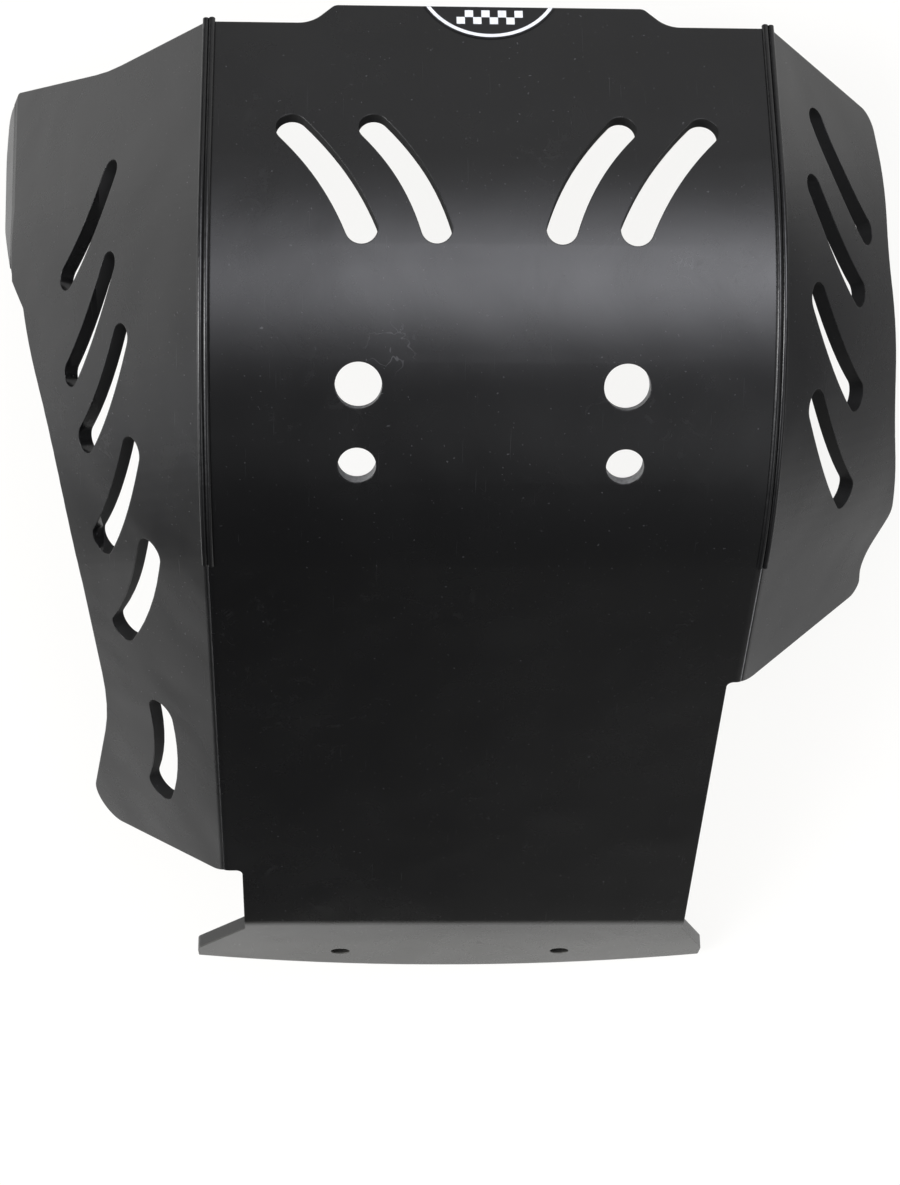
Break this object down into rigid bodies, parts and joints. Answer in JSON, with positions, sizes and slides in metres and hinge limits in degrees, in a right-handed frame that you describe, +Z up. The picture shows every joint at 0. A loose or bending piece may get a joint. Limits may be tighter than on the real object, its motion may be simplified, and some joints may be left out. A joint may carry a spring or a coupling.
{
  "type": "motorcycle skid plate",
  "caption": "Bent plastic skid plate for the underside of an off-road motorcycle, with curved front, slotted folded side wings, weld seams and a rear mounting flange.",
  "frame": {"origin": "centre of the bounding box in plan, on the floor plane the plate rests on", "axes": "+Y toward the front of the motorcycle, +X toward its right hand, +Z up; the outer face looks up"},
  "size_m": [0.432, 0.5149, 0.2032],
  "materials": {
    "plate_plastic": "satin black sheet, bent while hot, with routed edges and light scuffs",
    "weld_plastic": "black welding rod, slightly shiny where it melted",
    "decal_film": null
  },
  "bodies": {
    "root": {"plate": "plate_plastic", "left_weld_bead": "weld_plastic", "right_weld_bead": "weld_plastic", "decal": "decal_film"}
  },
  "joints": []
}
